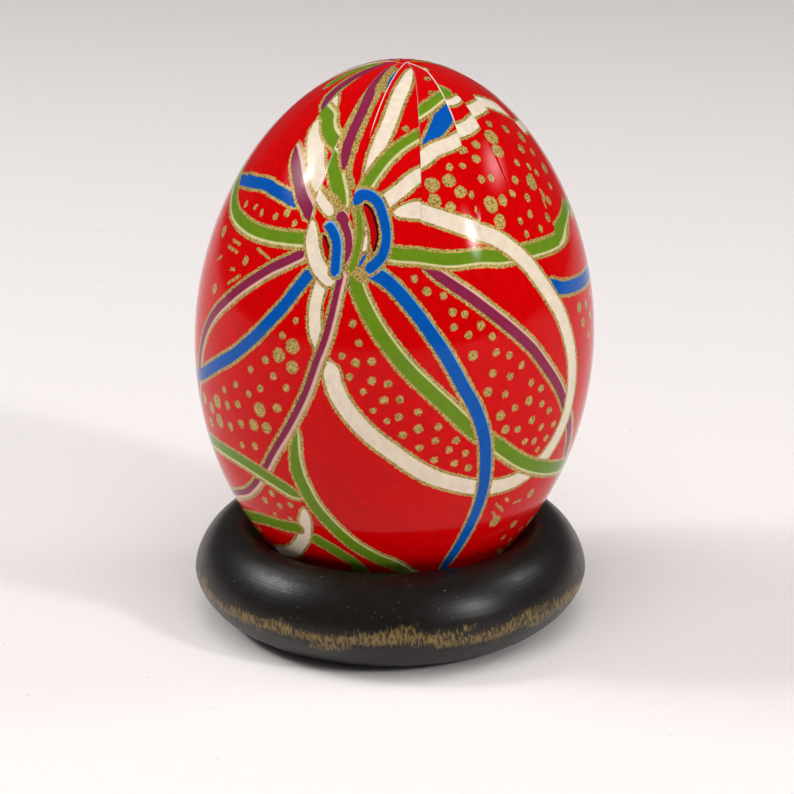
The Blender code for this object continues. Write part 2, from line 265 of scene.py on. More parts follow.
# Dots of gold: (u, s, radius), pocket by pocket.
FRONT_DOTS = [
    # left of the knot
    (-25, 17.5, 0.4), (-22.5, 17.8, 0.35), (-20.7, 17.5, 0.4), (-17.9, 17.7, 0.4),
    (-16.2, 18.5, 0.5), (-14.5, 17.6, 0.4), (-20.5, 12.2, 0.5), (-25.6, 7.6, 0.6), (-28, 13.5, 0.7),
    # the left field
    (-11.4, 7.8, 0.35), (-12.8, 6, 0.4), (-11.4, 5.1, 0.8), (-13, 3.8, 0.75), (-11.2, 2.9, 0.7),
    (-14.7, 2.9, 0.45), (-16.7, 1.3, 0.4), (-13.5, 1.4, 0.4), (-11.8, 0.5, 0.4), (-15.2, -0.4, 0.4),
    (-19, -1.1, 0.4), (-16.9, -1.5, 0.4), (-12.9, -2, 0.5), (-15.3, -2.85, 0.8),
    (-18.7, -3.2, 0.45), (-21.2, -2.4, 0.4), (-16.3, -4.9, 0.7), (-14.4, -4.7, 0.65),
    (-18.4, -5.4, 0.5), (-23, -4.3, 0.8), (-20.7, -4, 0.5), (-22.9, -6.6, 0.8), (-20.5, -6.4, 0.5),
    (-16.4, -7.5, 0.45), (-18.7, -8.1, 0.4), (-24.7, -5.7, 0.7), (-25.6, -7.8, 0.6),
    (-27, -5.4, 0.7),
    # low on the left
    (-15.1, -13.2, 0.45), (-16.7, -14.7, 0.45), (-14.3, -14.7, 0.4), (-12.5, -14, 0.4),
    (-15.7, -16.3, 0.3), (-13.1, -16.2, 0.3),
    # inside the large loop
    (-4.8, 8.5, 0.4), (-4, 6.55, 0.4), (-5.7, 5, 0.35), (-4.2, 4.45, 0.45), (-2.5, 4.75, 0.45),
    (-4.8, 2.9, 0.4), (-2.4, 2.7, 0.45), (-0.7, 2.5, 0.4), (-3.2, 1.5, 0.35), (-1.05, 0.7, 0.45),
    (0.6, 0.85, 0.4), (-2.1, -0.5, 0.35), (2.55, -0.5, 0.4), (0.55, -1.1, 0.4), (-0.6, -1.55, 0.35),
    (2.7, -2.4, 0.5), (4.75, -2.2, 0.4), (1.05, -3.1, 0.4), (4.5, -3.8, 0.4), (6.85, -3.9, 0.45),
    (2.9, -4.6, 0.4), (6.1, -4.95, 0.4), (8.05, -5.55, 0.4), (4.6, -6.1, 0.4), (6.9, -6.7, 0.4),
    (8.6, -7.4, 0.4),
    # between the blue and the purple ribbon
    (1.75, 13.5, 0.4), (3.2, 12.2, 0.5), (5.1, 11.7, 0.4), (6.1, 10, 0.45), (7.5, 9.7, 0.4),
    (6.2, 8.4, 0.4), (9.3, 8.4, 0.45), (7.8, 7.5, 0.4), (10.6, 7.1, 0.4), (8.3, 5.3, 0.55),
    (11.05, 5.35, 0.4), (10.6, 3.2, 0.45), (10.1, 1.2, 0.5), (12.7, 4.85, 0.4), (14.3, 3.5, 0.4),
    (12.8, 2.55, 0.4), (12.2, 0.65, 0.4), (15.7, 1.3, 0.4), (17.2, 0.35, 0.4), (15.5, -0.7, 0.5),
    (13.6, -1.1, 0.4), (11.8, -1.7, 0.55), (17.5, -1.5, 0.4), (18.9, -2.6, 0.4),
    (16.2, -3.05, 0.45), (12.6, -3.4, 0.5), (14.3, -3.7, 0.4), (17.9, -4.3, 0.4),
    (20.1, -4.55, 0.4), (15.6, -5.45, 0.4), (17.1, -5.75, 0.4), (19.1, -5.9, 0.4), (18, -7, 0.35),
    # up on the right
    (5.1, 23.3, 0.75), (7, 23.7, 0.7), (7.3, 25.2, 0.4), (8.8, 25.2, 0.35), (9.1, 27, 0.45),
    (8.1, 22.4, 0.65), (9.4, 22, 0.4), (5.1, 21.6, 0.7), (6.8, 20.8, 0.6), (10.2, 20.4, 0.4),
    (7.4, 34.6, 0.4), (7.6, 37.1, 0.4), (-1, 29.8, 0.35), (5.2, 33.6, 0.35), (4.6, 35.2, 0.35),
    (12.3, 27, 0.4), (13.3, 25.8, 0.5), (14, 27.4, 0.5), (13, 23.55, 0.4), (14.3, 23.5, 0.4),
    (13.2, 20.7, 0.9), (15, 20.9, 0.6), (13.8, 18.8, 0.8), (20.5, 29.4, 0.4), (19.5, 27.9, 0.85),
    (19.2, 26.2, 0.75), (21.1, 24.4, 0.4), (19.5, 22.7, 0.45), (22.2, 21.9, 0.9), (25.4, 28.6, 0.4),
    (25.9, 27.3, 0.5), (24.6, 25.9, 0.7), (26, 24.6, 0.5), (25.1, 22.6, 0.4), (26, 21.6, 0.4),
    (20.2, 20.5, 0.45), (24, 19.4, 0.85), (18.1, 21.4, 0.4), (25.1, 18.4, 0.5), (19.5, 18.8, 0.45),
    (17.3, 18.4, 0.4), (17.7, 16.9, 0.4), (20.65, 17, 0.4), (23, 17.8, 0.5), (28, 25.6, 0.6),
    (28.1, 23.6, 0.4), (28.8, 21.4, 0.6), (27.6, 19.6, 0.4),
    # at the right edge
    (25.5, 7.2, 0.6), (27.8, 6.9, 0.5), (26.2, 5.3, 0.5), (29.4, 5.2, 0.5), (28, 3.4, 0.4),
    (30.6, 7.4, 0.4),
    # low on the right
    (19.4, -13.2, 0.6), (14.45, -15.8, 0.8), (18.8, -17.5, 0.6),
]

# Short strokes of gold: both ends.
STROKES = [
    (-24.4, 13.5, -22.6, 13.5), (-25.1, 12.6, -22.6, 12.6), (-19, 13.9, -16.6, 13.3),
    (-23, 10.6, -22.1, 10.8), (-22.7, 9.1, -20.8, 10.5), (-26.8, 10.6, -26, 11.2),
    (13.5, -13, 15, -14.3), (14.8, -12.5, 15.4, -13.1), (16.5, -13.6, 17.7, -13.6),
    (13.4, -14.2, 14, -14.9),
]
STROKE_RADIUS = 0.16

# Pockets of dots where nobody drew them one by one: lowest u and s, highest u and s, count.
BACK_POCKETS = [
    (36, -4, 58, 14, 75), (36, -12, 56, -5, 30), (62, 6, 73, 26, 40), (-50, -3, -35, 12, 50),
    (-72, -12, -57, 0, 40), (-58, 10, -36, 17, 22), (-66, 24, -42, 34, 22), (34, 19, 50, 24, 16),
    (-44, -28, -20, -21, 34), (18, -30, 34, -19, 28), (56, -32, 72, -22, 30),
]
DOT_RADII = [0.4, 0.45, 0.7]
DOT_SPACING = 0.45          # mm of red at least between two dots
DOT_TRIES = 3               # for each dot wanted
DOT_SEED = 7

# The outline of the ring's bead: 2 is an ellipse, less draws its crown to a soft edge.
RING_SECTION_POWER = 1.65
RING_CROWN_TRIM = 0.35 * MM
RING_FLAT_TRIM = 0.08 * MM
RING_SECTION_POINTS = 96
RING_STEPS = 288

# The stain is rubbed through on the widest line: mm above the table, half its width, how far it
# wanders, and how much short ticks and long patches break it up.
WORN_HEIGHT = 5.1
WORN_HALF_WIDTH = 1.35
WORN_WANDER = 1.6
TICK_WEIGHT = 2.0
PATCH_WEIGHT = 2.4
PORE = "#3A2B1A"
DUST = "#2C2824"
LINT = "#8C8680"
TABLE_SPECK = "#D8D0CC"

# The base disc: (mm from its middle, mm above the egg), with the mark of the pin that the egg
# dried on, and then its rim, counted from the rim's own reach.
DISC_FACE = [(0, 0.06), (0.3, 0.06), (0.6, 0.06), (0.75, 0.08), (0.9, 0.13), (1.05, 0.14),
             (1.3, 0.11), (2.0, 0.10), (3.0, 0.10), (4.0, 0.10), (5.0, 0.10), (5.6, 0.10)]
DISC_RIM = [(-0.2, 0.10), (-0.08, 0.09), (-0.02, 0.06), (0.0, 0.02), (-0.04, -0.03)]
DISC_COLUMNS = 144
DISC_CUT_FROM = (4.0, 4.0)  # where on the sheet the disc was cut from

# The camera, in m, degrees and mm, and the studio round it, in m.
CAMERA_TARGET = Vector((0.00075, 0.0, 0.0252))
CAMERA_DISTANCE = 0.3006
CAMERA_ELEVATION = 18.94
CAMERA_LENS = 121.8
CAMERA_SENSOR = 36.0
CAMERA_CLIP = 0.01
FLOOR_SIZE = 3.0
ROOM = "#EDE9E8"

# azimuth: degrees from the front towards the right. power: the setting that it takes its share
# of. fall: how steeply the glow falls off from its middle. in_gloss: whether gloss shows it.
Lamp = namedtuple("Lamp", "name azimuth elevation distance width height power share fall in_gloss")
LAMPS = [
    Lamp("left_lamp", -95, 40, 0.75, 0.56, 0.36, "left_power", 1.0, 1.2, True),
    Lamp("left_bulb", -88, 40, 0.74, 0.17, 0.13, "left_power", 0.7, 2.0, True),
    Lamp("right_bulb", 53, 28.5, 0.75, 0.19, 0.35, "right_power", 1.0, 2.8, True),
    Lamp("right_lamp", 99, 36, 0.80, 0.52, 0.26, "right_power", 0.35, 2.0, True),
    Lamp("top_fill", 0, 66, 0.80, 0.80, 0.80, "fill_power", 1.0, 0.0, False),
]


def linear(colour):
    """An sRGB hex colour as linear red, green and blue."""
    levels = [int(colour[i:i + 2], 16) / 255 for i in (1, 3, 5)]
    return tuple(v / 12.92 if v <= 0.04045 else ((v + 0.055) / 1.055) ** 2.4 for v in levels)


def colour_setting(name, description, colour):
    return FloatVectorProperty(
        name=name, description=description, subtype="COLOR", size=3, min=0, max=1,
        default=linear(colour))


class PaperSettings(bpy.types.PropertyGroup):
    """The printed paper and the lacquer over it."""
    ground: colour_setting("Ground", "The sheet's own red", "#CA0003")
    cream: colour_setting("Cream", "Cream ribbons", "#E4D4BE")
    green: colour_setting("Green", "Green ribbons", "#64861A")
    blue: colour_setting("Blue", "Blue ribbons", "#0452A8")
    purple: colour_setting("Purple", "Purple ribbons", "#842446")
    dark_red: colour_setting("Shadow red", "The darker red inside the bow", "#B00006")
    gold: colour_setting("Gold", "The gold of outlines and dots", "#C8AE66")
    gold_dark: colour_setting("Gold shadow", "The darker grains in the gold", "#7E6228")
    core: colour_setting("Cut edge", "The paper's pale core at its cut edges", "#F2DDD2")
    cut_height: FloatProperty(
        name="Cut height", description="How far a cut edge stands proud under the lacquer",
        default=0.05 * MM, min=0, unit="LENGTH")
    lacquer_roughness: FloatProperty(
        name="Lacquer roughness", description="How far the lacquer blurs reflections",
        default=0.07, min=0, max=1, subtype="FACTOR")


class RingSettings(bpy.types.PropertyGroup):
    """The turned ring."""
    stain: colour_setting("Stain", "The black stain", "#0D0A08")
    worn: colour_setting("Worn wood", "Bare wood on the widest line", "#86703E")
    roughness: FloatProperty(
        name="Wax roughness", description="How far the waxed wood blurs reflections",
        default=0.30, min=0, max=1, subtype="FACTOR")
    foot_shift: FloatProperty(
        name="Foot shift", description="How far the foot lies inside the middle of the bead",
        default=1.4 * MM, unit="LENGTH")


class StageSettings(bpy.types.PropertyGroup):
    """The table and the lamps."""
    table: colour_setting("Table", "The pale table", "#F4EEEC")
    left_power: FloatProperty(
        name="Left lamp", description="Power of the lamp on the left", default=7.0, unit="POWER")
    right_power: FloatProperty(
        name="Right lamp", description="Power of the lamp on the right", default=15.0,
        unit="POWER")
    fill_power: FloatProperty(
        name="Fill", description="Power of the soft light overhead", default=4.3, unit="POWER")
    surroundings: FloatProperty(
        name="Surroundings", description="Brightness of the room", default=0.12, min=0)


# ------------------------------------------------------------------ the egg's shape

def read(items, field, size=3, kind=float):
    """One field of all the vertices, faces or corners of a mesh, a row for each."""
    values = np.empty(len(items) * size, dtype=kind)
    items.foreach_get(field, values)
    return values.reshape(-1, size)


def node_points(name):
    return read(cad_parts[name].data.vertices, "co")


def node_middle(name):
    return np.mean([np.array(corner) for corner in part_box(name)], axis=0)


class Egg:
    """The egg's place and profile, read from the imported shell, paper and lacquer."""

    def __init__(self):
        base, top = node_middle("hole_filler_base"), node_middle("hole_filler_top")
        self.axis = (top - base) / np.linalg.norm(top - base)
        film, paper = node_points("lacquer_film"), node_points("paper_wrap")
        along = paper @ self.axis
        middle = (along.max() + along.min()) / 2
        self.centre = base + self.axis * (middle - base @ self.axis)
        rise = (film - self.centre) @ self.axis
        spread = np.linalg.norm(film - self.centre - rise[:, None] * self.axis, axis=1)
        self.half_height = rise.max() / MM
        self.widest = spread.max() / MM
        self.right = np.array([self.axis[2], 0, -self.axis[0]])
        self.right /= np.linalg.norm(self.right)
        self.back = np.cross(self.axis, self.right)

        angle = np.linspace(pi, 0, PROFILE_STEPS)
        swell = 1 + EGG_TAPER * np.cos(angle) + EGG_SHOULDER * np.cos(angle) ** 2
        self.radii = self.widest * np.sin(angle) * swell
        self.heights = self.half_height * np.cos(angle)
        steps = np.hypot(np.diff(self.radii), np.diff(self.heights))
        self.arcs = np.concatenate([[0], np.cumsum(steps)])
        self.arcs -= np.interp(0, self.heights, self.arcs)
        slope = np.gradient(self.radii, self.arcs), np.gradient(self.heights, self.arcs)
        self.out, self.up = slope[1], -slope[0]

    def radius(self, s):
        return np.interp(s, self.arcs, self.radii)

    def surface(self, longitude, s, lift):
        """Points in metres on the egg, `lift` mm above its outside."""
        turn = np.radians(longitude)[:, None]
        radius = self.radius(s) + lift * np.interp(s, self.arcs, self.out)
        height = np.interp(s, self.arcs, self.heights) + lift * np.interp(s, self.arcs, self.up)
        sideways = np.sin(turn) * self.right - np.cos(turn) * self.back
        return self.centre + MM * (radius[:, None] * sideways + height[:, None] * self.axis)


EGG = Egg()


def ease(value):
    t = np.clip(value, 0, 1)
    return t * t * (3 - 2 * t)


# ------------------------------------------------------------------ the print

def smooth_path(points):
    """A smooth curve through points in the plane, and how far along it each of its points is."""
    p = np.array(points, float)
    p = np.vstack([2 * p[0] - p[1], p, 2 * p[-1] - p[-2]])
    t = np.linspace(0, 1, PATH_STEPS, endpoint=False)[:, None]
    spans = []
    for a, b, c, d in zip(p, p[1:], p[2:], p[3:]):
        spans.append(b + t * ((c - a) / 2 + t * (a - 2.5 * b + 2 * c - d / 2
                                                 + t * (1.5 * (b - c) + (d - a) / 2))))
    path = np.vstack(spans + [p[-2:-1]])
    return path, np.concatenate([[0], np.cumsum(np.linalg.norm(np.diff(path, axis=0), axis=1))])


def nearest_on_path(path, points):
    """For each point: the segment nearest to it, how far along, how far off, and which side."""
    start, step = path[:-1], np.diff(path, axis=0)
    offset = points[:, None] - start[None]
    t = np.clip((offset * step).sum(2) / (step ** 2).sum(1), 0, 1)
    gap = np.linalg.norm(offset - t[..., None] * step, axis=2)
    index = gap.argmin(1)
    rows = np.arange(len(points))
    away, along = offset[rows, index], step[index]
    side = np.sign(along[:, 0] * away[:, 1] - along[:, 1] * away[:, 0])
    return index, t[rows, index], gap[rows, index], side


def ribbon_fields(u, s):
    """Per layer and point: mm outside the nearest ribbon, mm outside its edging, and its ink."""
    points = np.stack([u, s], axis=1)
    fields = np.full((LAYERS, len(u), 3), FAR)
    fields[:, :, 2] = 0.5 / len(INKS)
    for item in ALL_RIBBONS:
        path, along = smooth_path(item.points)
        reach = item.width / 2 + FIELD_REACH
        near = np.flatnonzero(np.all((points > path.min(0) - reach)
                                     & (points < path.max(0) + reach), axis=1))
        if not len(near):
            continue
        index, t, gap, side = nearest_on_path(path, points[near])
        place = along[index] + t * (along[index + 1] - along[index])
        half = np.full(len(near), item.width / 2)
        for tip, travelled in zip(item.tips, (place, along[-1] - place)):
            if tip:
                half *= np.sqrt(np.clip(travelled / tip, 0, 1))
        edge = gap - half
        stripe = np.full(len(near), FAR)
        if item.edging:
            stripe = half - abs(item.edging) - gap * side * np.sign(item.edging)
        layer = fields[item.layer]
        closer = edge < layer[near, 0]
        ink = np.full(closer.sum(), (item.ink + 0.5) / len(INKS))
        layer[near[closer]] = np.stack([edge[closer], stripe[closer], ink], axis=1)
    return fields


def knot_at(u, s, turn):
    """The knot again at another place on the sheet, turned by degrees."""
    c, d = cos(radians(turn)), sin(radians(turn))
    turned = np.array([(c, d), (-d, c)])
    return [item._replace(points=(np.array(item.points) - KNOT_MIDDLE) @ turned + (u, s))
            for item in KNOT]


ALL_RIBBONS = (FRONT_RIBBONS + KNOT + BACK_RIBBONS + knot_at(60.5, -6, 65)
               + knot_at(-53.5, -6.5, 200))


def scattered_dots():
    """Dots strewn in the pockets, none touching another."""
    draw = np.random.default_rng(DOT_SEED)
    dots = []
    for u0, s0, u1, s1, count in BACK_POCKETS:
        for _ in range(count * DOT_TRIES):
            dot = (draw.uniform(u0, u1), draw.uniform(s0, s1), draw.choice(DOT_RADII))
            gaps = [np.hypot(dot[0] - d[0], dot[1] - d[1]) - dot[2] - d[2] for d in dots]
            if all(gap > DOT_SPACING for gap in gaps):
                dots.append(dot)
    return dots


def dot_field(u, s):
    """How many mm each point lies outside the nearest dot or stroke of gold."""
    field = np.full(len(u), FAR)
    for dot_u, dot_s, radius in FRONT_DOTS + scattered_dots():
        reach = radius + DOT_REACH
        near = np.flatnonzero((abs(u - dot_u) < reach) & (abs(s - dot_s) < reach))
        gap = np.hypot(u[near] - dot_u, s[near] - dot_s) - radius
        field[near] = np.minimum(field[near], gap)
    points = np.stack([u, s], axis=1)
    for u0, s0, u1, s1 in STROKES:
        near = np.flatnonzero((abs(u - (u0 + u1) / 2) < STROKE_REACH)
                              & (abs(s - (s0 + s1) / 2) < STROKE_REACH))
        if len(near):
            gap = nearest_on_path(np.array([(u0, s0), (u1, s1)]), points[near])[2]
            field[near] = np.minimum(field[near], gap - STROKE_RADIUS)
    return field


# ------------------------------------------------------------------ meshes

def deselect():
    if bpy.context.object and bpy.context.object.mode != "OBJECT":
        bpy.ops.object.mode_set(mode="OBJECT")
    bpy.ops.object.select_all(action="DESELECT")


def merge_and_smooth():
    """Close the seams and poles of the piece that was just made."""
    bpy.ops.object.mode_set(mode="EDIT")
    bpy.ops.mesh.select_all(action="SELECT")
    bpy.ops.mesh.remove_doubles(threshold=MERGE_DISTANCE)
    bpy.ops.object.mode_set(mode="OBJECT")
    bpy.ops.object.shade_smooth()


def finish_piece(piece, body, nodes, material):
    piece.data.materials.clear()
    piece.data.materials.append(material)
    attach(piece, body)
    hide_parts(*nodes)


def flat_grid(name, columns, rows):
    """A flat grid, and the column and row of each of its vertices."""
    deselect()
    bpy.ops.mesh.primitive_grid_add(x_subdivisions=columns, y_subdivisions=rows, size=1.0)
    piece = bpy.context.object
    piece.name = piece.data.name = name
    place = read(piece.data.vertices, "co") + 0.5
    return (piece, np.rint(place[:, 0] * columns).astype(int),
            np.rint(place[:, 1] * rows).astype(int))


def cut_longitudes(cuts, s):
    """The longitude of each cut, and of the first again a turn on, at each height."""
    reach = np.maximum(EGG.radius(s), POLE_REACH)
    lines = [cut.longitude + np.degrees(np.arcsin(cut.miss / reach)) for cut in cuts]
    return np.array(lines + [lines[0] + 360])


def sheet_scale(s):
    """mm of sheet for each radian round the egg: full at the belt, true to the egg in strips."""
    t = ease((abs(s) - np.where(s > 0, STRIP_FLAT, BASE_STRIP_FLAT)) / STRIP_BLEND)
    return EGG.widest * (1 - t) + EGG.radius(s) * t


def store_print(mesh, u, s, edges, back):
    """Store where the corners lie in the print, which is what the paper's material reads."""
    fields = {f"ribbons_{i}": field for i, field in enumerate(ribbon_fields(u, s))}
    fields["cuts"] = edges
    for name, values in fields.items():
        mesh.attributes.new(name, "FLOAT_VECTOR", "CORNER")
        mesh.attributes[name].data.foreach_set("vector", values[back].ravel())
    mesh.attributes.new("dots", "FLOAT", "CORNER")
    mesh.attributes["dots"].data.foreach_set("value", dot_field(u, s)[back])


def wrap_sheet(name, low, high, spacing, low_cuts, high_cuts):
    """Bend a flat sheet with the print on it round the egg, from one height up to another."""
    starts = np.concatenate([[0], np.cumsum(STRIP_COLUMNS)])
    rows = round((high - low) / spacing)
    piece, column, row = flat_grid(name, int(starts[-1]), rows)
    rise = row / rows
    s = low + (high - low) * rise
    is_belt = low < 0 < high
    cuts = high_cuts if high > 0 else low_cuts
    ends = np.array([cut.end for cut in cuts])
    white = np.array([cut.white for cut in cuts])

    strip = np.minimum(np.searchsorted(starts, column, side="right") - 1, STRIPS - 1)
    share = (column - starts[strip]) / np.diff(starts)[strip]
    lines = cut_longitudes(low_cuts, s) * (1 - rise) + cut_longitudes(high_cuts, s) * rise
    vertex = np.arange(len(s))
    longitude = lines[strip, vertex] * (1 - share) + lines[strip + 1, vertex] * share
    raised = ease((abs(s) - ends[strip]) / LIFT_LENGTH) * (share > 0) * (1 - share)
    step = 0 if is_belt else bpy.context.scene.egg_paper.cut_height / MM
    points = EGG.surface(longitude, s, step * raised)
    piece.data.vertices.foreach_set("co", points.ravel())

    # Each corner of a face reads the print that its own strip carries.
    corners = read(piece.data.loops, "vertex_index", 1, int).ravel()
    own = np.repeat(column[corners].reshape(-1, 4).min(1), 4)
    own_strip = np.searchsorted(starts, own, side="right") - 1
    keys, back = np.unique(corners * STRIPS + own_strip, return_inverse=True)
    v, k = keys // STRIPS, keys % STRIPS
    at_belt = cut_longitudes(high_cuts, np.array([BELT_TOP]))[:, 0]
    middle = ((at_belt[:-1] + at_belt[1:]) / 2)[k]
    u = (np.radians(middle) * EGG.widest
         + np.radians(longitude[v] - middle) * sheet_scale(s[v]))
    slip = np.array([STRIP_SLIP.get(i, 0) for i in range(STRIPS)])[k] * (high > BELT_TOP)
    print_s = s[v] - slip * ease((s[v] - ends[k]) / SLIP_LENGTH)

    width = np.radians(lines[k + 1, v] - lines[k, v]) * EGG.radius(s[v])
    from_left = np.radians(longitude[v] - lines[k, v]) * EGG.radius(s[v])
    right_ends = ends[(k + 1) % STRIPS] if high > 0 else ends[k]
    edges = np.stack([from_left + FAR * (is_belt | (abs(s[v]) < ends[k])),
                      width - from_left + FAR * (is_belt | (abs(s[v]) < right_ends)),
                      white[k] * ease((s[v] - WHITE_FROM) / LIFT_LENGTH)], axis=1)
    store_print(piece.data, u, print_s, edges, back)
    merge_and_smooth()
    even_rim(piece.data, {low, high} & {BELT_BASE, BELT_TOP})
    return piece


def even_rim(mesh, rims):
    """Give the rim where two pieces meet the egg's own normals, so that gloss runs across it."""
    points = read(mesh.vertices, "co") - EGG.centre
    normals = read(mesh.vertex_normals, "vector")
    height = points @ EGG.axis / MM
    for rim in rims:
        near = abs(height - np.interp(rim, EGG.arcs, EGG.heights)) < RIM_REACH
        radial = points[near] - (height[near] * MM)[:, None] * EGG.axis
        radial /= np.linalg.norm(radial, axis=1)[:, None]
        out, up = np.interp(rim, EGG.arcs, EGG.out), np.interp(rim, EGG.arcs, EGG.up)
        normals[near] = radial * out + EGG.axis * up
    mesh.normals_split_custom_set_from_vertices(normals)


# ------------------------------------------------------------------ materials

def add_node(tree, kind, settings):
    """Add a shader node. A setting is a property of it, or a socket's value or its source."""
    node = tree.nodes.new("ShaderNode" + kind)
    for key, value in settings.items():
        if isinstance(value, bpy.types.NodeSocket):
            tree.links.new(value, node.inputs[key])
        elif isinstance(key, str) and hasattr(node, key):
            setattr(node, key, value)
        else:
            node.inputs[key].default_value = value
    return node.outputs


def empty_material(name):
    material = bpy.data.materials.new(name)
    material.use_nodes = True
    material.node_tree.nodes.clear()
    return material, partial(add_node, material.node_tree)


def opaque(colour):
    return (*(linear(colour) if isinstance(colour, str) else colour), 1.0)


def printed_paper():
    """Screen-printed paper under a thick clear lacquer.

    Flat inks with a little fibre in them, sandy bronze outlines with ragged edges, and over it
    all a smooth wet-looking gloss. The grains are coarser than real bronze powder, to show.
    """
    paint = bpy.context.scene.egg_paper
    material, add = empty_material("lacquered_printed_paper")
    place = add("TexCoord", {})["Object"]
    grain, wobble, fibre, waves = (
        add("TexNoise", {"Vector": place, "Scale": 1 / (size * MM), "Detail": detail,
                         "Roughness": roughness})["Fac"]
        for size, detail, roughness in (
            (GRAIN_SIZE, 3, 0.5), (RAGGED_SIZE, 3, 0.5), (FIBRE_SIZE, 4, 0.6), (SAG_SIZE, 1, 0.5)))
    ragged = add("Math", {"operation": "MULTIPLY_ADD", 0: wobble, 1: RAGGED_DEPTH,
                          2: -RAGGED_DEPTH / 2})[0]
    slightly = add("Math", {"operation": "MULTIPLY", 0: ragged, 1: 0.45})[0]
    dark_grains = add("MapRange", {"Value": grain, "From Min": 0.57, "From Max": 0.37})[0]
    gold = add("Mix", {"data_type": "RGBA", 0: dark_grains, 6: opaque(paint.gold),
                       7: opaque(paint.gold_dark)})[2]

    # What is laid over what, from the ground up: (where, colour). A soft step turns a distance
    # in mm into where it lies.
    dots = add("Attribute", {"attribute_name": "dots"})["Fac"]
    dots = add("Math", {"operation": "ADD", 0: dots, 1: ragged})[0]
    metal = add("MapRange", {"Value": dots, "From Min": 0.07, "From Max": -0.03})[0]
    laid = [(metal, gold)]
    inks = [tuple(getattr(paint, name)) for name in INKS]
    edgings = [inks[CREAM], *PALE_EDGINGS, DARK_EDGING, inks[GOLD]]
    for layer in range(LAYERS):
        field = add("Attribute", {"attribute_name": f"ribbons_{layer}"})["Vector"]
        outside, past_edging, ink = add("SeparateXYZ", {0: field})
        rough_edge = add("Math", {"operation": "ADD", 0: outside, 1: ragged})[0]
        outline = add("MapRange", {"Value": rough_edge, "From Min": OUTLINE + 0.04,
                                   "From Max": OUTLINE - 0.04})[0]
        even_edge = add("Math", {"operation": "ADD", 0: outside, 1: slightly})[0]
        fill = add("MapRange", {"Value": even_edge, "From Min": 0.03, "From Max": -0.03})[0]
        stripe = add("MapRange", {"Value": past_edging, "From Min": 0.05, "From Max": -0.05})[0]
        stripe = add("Math", {"operation": "MULTIPLY", 0: fill, 1: stripe})[0]
        all_gold = add("MapRange", {"Value": ink, "From Min": GOLD / len(INKS) - 0.01,
                                    "From Max": GOLD / len(INKS) + 0.01})[0]
        gold_fill = add("Math", {"operation": "MULTIPLY", 0: fill, 1: all_gold})[0]
        laid.append((outline, gold))
        for where, colours in ((fill, inks), (stripe, edgings)):
            chosen = add("ValToRGB", {"Fac": ink})[0]
            ramp = chosen.node.color_ramp
            ramp.interpolation = "CONSTANT"
            while len(ramp.elements) < len(colours):
                ramp.elements.new(1.0)
            for i, colour in enumerate(colours):
                ramp.elements[i].position = i / len(colours)
                ramp.elements[i].color = opaque(colour)
            laid.append((where, chosen))
        laid.append((gold_fill, gold))
        inked = add("Math", {"operation": "SUBTRACT", 0: fill, 1: gold_fill})[0]
        not_inked = add("Math", {"operation": "SUBTRACT", 0: 1.0, 1: inked})[0]
        metal = add("Math", {"operation": "MAXIMUM", 0: metal, 1: outline})[0]
        metal = add("Math", {"operation": "MULTIPLY", 0: metal, 1: not_inked})[0]

    # A cut shows as a thin shadow beside it and, high up, as the paper's pale core.
    cuts = add("Attribute", {"attribute_name": "cuts"})["Vector"]
    past_left, past_right, white = add("SeparateXYZ", {0: cuts})
    shade = add("MapRange", {"Value": past_right, "From Min": 0.13, "From Max": 0.01,
                             "To Max": 0.35})[0]
    edge = add("MapRange", {"Value": past_left, "From Min": 0.15, "From Max": 0.05})[0]
    core = add("Math", {"operation": "MULTIPLY", 0: edge, 1: white})[0]
    laid += [(shade, opaque(CUT_SHADOW)), (core, opaque(paint.core))]

    colour = opaque(paint.ground)
    for where, over in laid:
        colour = add("Mix", {"data_type": "RGBA", 0: where, 6: colour, 7: over})[2]
    tone = add("MapRange", {"Value": fibre, "To Min": 0.76, "To Max": 1.20})[0]
    colour = add("VectorMath", {"operation": "SCALE", 0: colour, "Scale": tone})[0]
    sag = add("Bump", {"Strength": 0.25, "Distance": 0.02 * MM, "Height": waves})[0]
    shine = add("Math", {"operation": "MULTIPLY", 0: metal, 1: 0.35})[0]
    shader = add("BsdfPrincipled", {
        "Base Color": colour, "Metallic": shine, "Roughness": 0.55, "IOR": 1.5,
        "Specular IOR Level": 0.0, "Coat Weight": 1.0, "Coat Roughness": paint.lacquer_roughness,
        "Coat IOR": 1.21, "Coat Normal": sag})
    add("OutputMaterial", {"Surface": shader[0]})
    return material


